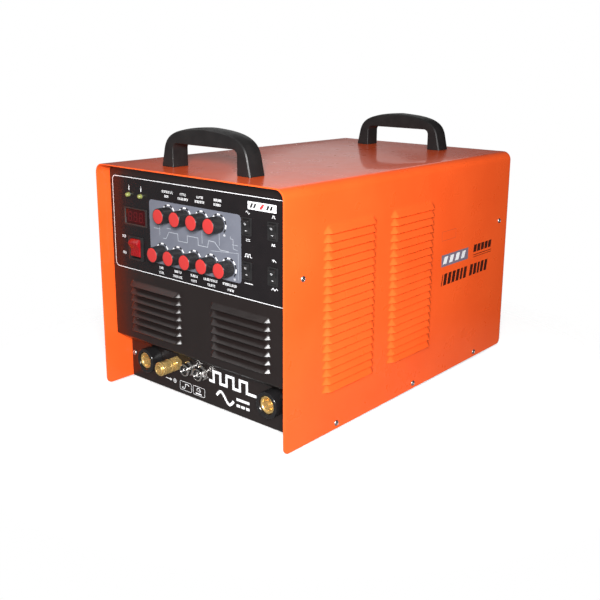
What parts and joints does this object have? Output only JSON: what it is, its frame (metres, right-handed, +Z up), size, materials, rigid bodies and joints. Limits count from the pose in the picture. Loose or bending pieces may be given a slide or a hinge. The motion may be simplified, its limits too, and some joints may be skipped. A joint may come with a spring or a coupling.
{
  "type": "TIG welding machine",
  "caption": "Box-shaped welding power source: folded cover with louvred sides, recessed control panel of knobs and rockers, twist-lock sockets, gas coupler, two arched carrying handles.",
  "frame": {"origin": "centre of the footprint, on the floor under the feet", "axes": "+Z up, +Y from the control panel to the rear panel, +X to the right seen from the front"},
  "size_m": [0.332, 0.498, 0.356],
  "materials": {
    "orange_paint": "glossy powder coat",
    "black_paint": "glossy",
    "zinc_steel": "dull zinc plate",
    "handle_plastic": "satin",
    "foot_rubber": "matt",
    "printed_sheet": "gloss black with white and grey print",
    "black_plastic": "satin",
    "red_plastic": "satin",
    "red_lens": "glossy",
    "display_lens": "glossy dark red",
    "lamp_lens": "clear",
    "brass": "machined",
    "nickel": "plated",
    "aluminium": "extruded",
    "circuit_board": "solder mask",
    "ferrite": "matt"
  },
  "bodies": {
    "housing": {"top_cover": "orange_paint", "front_panel": "black_paint", "rear_panel": "black_paint", "base_plate": "zinc_steel", "front_handle": "handle_plastic", "rear_handle": "handle_plastic", "foot_front_left": "foot_rubber", "foot_rear_left": "foot_rubber", "foot_front_right": "foot_rubber", "foot_rear_right": "foot_rubber", "control_overlay": "printed_sheet", "output_switch_frame": "black_plastic", "trigger_switch_frame": "black_plastic", "pulse_switch_frame": "black_plastic", "process_switch_frame": "black_plastic", "power_switch_frame": "black_plastic", "display_bezel": "black_plastic", "display_window": "display_lens", "power_lamp": "lamp_lens", "warning_lamp": "lamp_lens", "negative_socket_body": "black_plastic", "positive_socket_body": "black_plastic", "negative_socket_contact": "brass", "positive_socket_contact": "brass", "gas_coupler_body": "brass", "gas_inlet": "brass", "torch_trigger_socket": "nickel", "remote_control_socket": "nickel", "cable_gland": "black_plastic", "fan_frame": "black_plastic", "heat_sink": "aluminium", "inverter_board": "circuit_board", "control_board": "circuit_board", "main_transformer": "ferrite", "gas_valve": "brass"},
    "pre_flow_dial": {"pre_flow_knob": "black_plastic", "pre_flow_cap": "red_plastic"},
    "peak_current_dial": {"peak_current_knob": "black_plastic", "peak_current_cap": "red_plastic"},
    "base_current_dial": {"base_current_knob": "black_plastic", "base_current_cap": "red_plastic"},
    "down_slope_dial": {"down_slope_knob": "black_plastic", "down_slope_cap": "red_plastic"},
    "arc_force_dial": {"arc_force_knob": "black_plastic", "arc_force_cap": "red_plastic"},
    "pulse_frequency_dial": {"pulse_frequency_knob": "black_plastic", "pulse_frequency_cap": "red_plastic"},
    "pulse_duty_dial": {"pulse_duty_knob": "black_plastic", "pulse_duty_cap": "red_plastic"},
    "clean_width_dial": {"clean_width_knob": "black_plastic", "clean_width_cap": "red_plastic"},
    "post_flow_dial": {"post_flow_knob": "black_plastic", "post_flow_cap": "red_plastic"},
    "output_switch": {"output_rocker": "black_plastic"},
    "trigger_switch": {"trigger_rocker": "black_plastic"},
    "pulse_switch": {"pulse_rocker": "black_plastic"},
    "process_switch": {"process_rocker": "black_plastic"},
    "power_switch": {"power_rocker": "red_lens"},
    "fan": {"fan_rotor": "black_plastic"},
    "coupler_collar": {"gas_coupler_sleeve": "brass"}
  },
  "joints": [
    {"name": "pre_flow_turn", "type": "hinge", "parent": "housing", "child": "pre_flow_dial", "pos_m": [-0.0435, -0.2303, 0.2507], "axis": [0, 1, 0], "range_deg": [0, 270]},
    {"name": "peak_current_turn", "type": "hinge", "parent": "housing", "child": "peak_current_dial", "pos_m": [-0.0145, -0.2303, 0.2507], "axis": [0, 1, 0], "range_deg": [0, 270]},
    {"name": "base_current_turn", "type": "hinge", "parent": "housing", "child": "base_current_dial", "pos_m": [0.0145, -0.2303, 0.2507], "axis": [0, 1, 0], "range_deg": [0, 270]},
    {"name": "down_slope_turn", "type": "hinge", "parent": "housing", "child": "down_slope_dial", "pos_m": [0.0435, -0.2303, 0.2507], "axis": [0, 1, 0], "range_deg": [0, 270]},
    {"name": "arc_force_turn", "type": "hinge", "parent": "housing", "child": "arc_force_dial", "pos_m": [-0.057, -0.2303, 0.2017], "axis": [0, 1, 0], "range_deg": [0, 270]},
    {"name": "pulse_frequency_turn", "type": "hinge", "parent": "housing", "child": "pulse_frequency_dial", "pos_m": [-0.028, -0.2303, 0.2017], "axis": [0, 1, 0], "range_deg": [0, 270]},
    {"name": "pulse_duty_turn", "type": "hinge", "parent": "housing", "child": "pulse_duty_dial", "pos_m": [0.001, -0.2303, 0.2017], "axis": [0, 1, 0], "range_deg": [0, 270]},
    {"name": "clean_width_turn", "type": "hinge", "parent": "housing", "child": "clean_width_dial", "pos_m": [0.03, -0.2303, 0.2017], "axis": [0, 1, 0], "range_deg": [0, 270]},
    {"name": "post_flow_turn", "type": "hinge", "parent": "housing", "child": "post_flow_dial", "pos_m": [0.059, -0.2303, 0.2017], "axis": [0, 1, 0], "range_deg": [0, 270]},
    {"name": "output_press", "type": "hinge", "parent": "housing", "child": "output_switch", "pos_m": [0.0886, -0.2307, 0.2542], "axis": [1, 0, 0], "range_deg": [-24, 0]},
    {"name": "trigger_press", "type": "hinge", "parent": "housing", "child": "trigger_switch", "pos_m": [0.128, -0.2307, 0.2542], "axis": [1, 0, 0], "range_deg": [-24, 0]},
    {"name": "pulse_press", "type": "hinge", "parent": "housing", "child": "pulse_switch", "pos_m": [0.0886, -0.2307, 0.204], "axis": [1, 0, 0], "range_deg": [-24, 0]},
    {"name": "process_press", "type": "hinge", "parent": "housing", "child": "process_switch", "pos_m": [0.128, -0.2307, 0.204], "axis": [1, 0, 0], "range_deg": [-24, 0]},
    {"name": "power_press", "type": "hinge", "parent": "housing", "child": "power_switch", "pos_m": [-0.1073, -0.2302, 0.1996], "axis": [1, 0, 0], "range_deg": [-26, 0]},
    {"name": "fan_spin", "type": "hinge", "parent": "housing", "child": "fan", "pos_m": [0, 0.221, 0.122], "axis": [0, 1, 0], "continuous": true},
    {"name": "collar_pull", "type": "slide", "parent": "housing", "child": "coupler_collar", "axis": [0, 1, 0], "range_m": [0, 0.0035], "stiffness_N_per_m": 600, "springref_m": -0.002}
  ]
}
